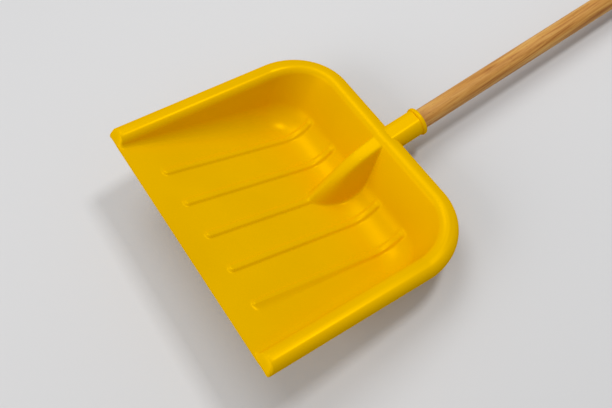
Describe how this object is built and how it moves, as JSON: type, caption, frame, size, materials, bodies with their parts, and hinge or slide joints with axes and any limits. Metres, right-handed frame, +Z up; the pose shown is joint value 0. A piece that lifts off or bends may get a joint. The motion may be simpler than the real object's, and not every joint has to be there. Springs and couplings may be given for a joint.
{
  "type": "kids snow shovel",
  "caption": "Children's snow shovel: a one-piece yellow plastic scoop with a rolled rim, five ribs and a flat-topped handle socket, on a round wooden handle.",
  "frame": {"origin": "middle of the footprint, on the floor the shovel lies on", "axes": "+Z up, +Y from the scoop towards the free end of the handle, +X to the right seen from above with the handle away from the viewer"},
  "size_m": [0.3, 0.9654, 0.1024],
  "materials": {
    "plastic": "semi-gloss yellow polypropylene",
    "beech": "plain turned beech, lightly oiled",
    "zinc": "bright zinc plate"
  },
  "bodies": {
    "root": {"blade": "plastic", "handle": "beech", "handle_screw": "zinc"}
  },
  "joints": []
}
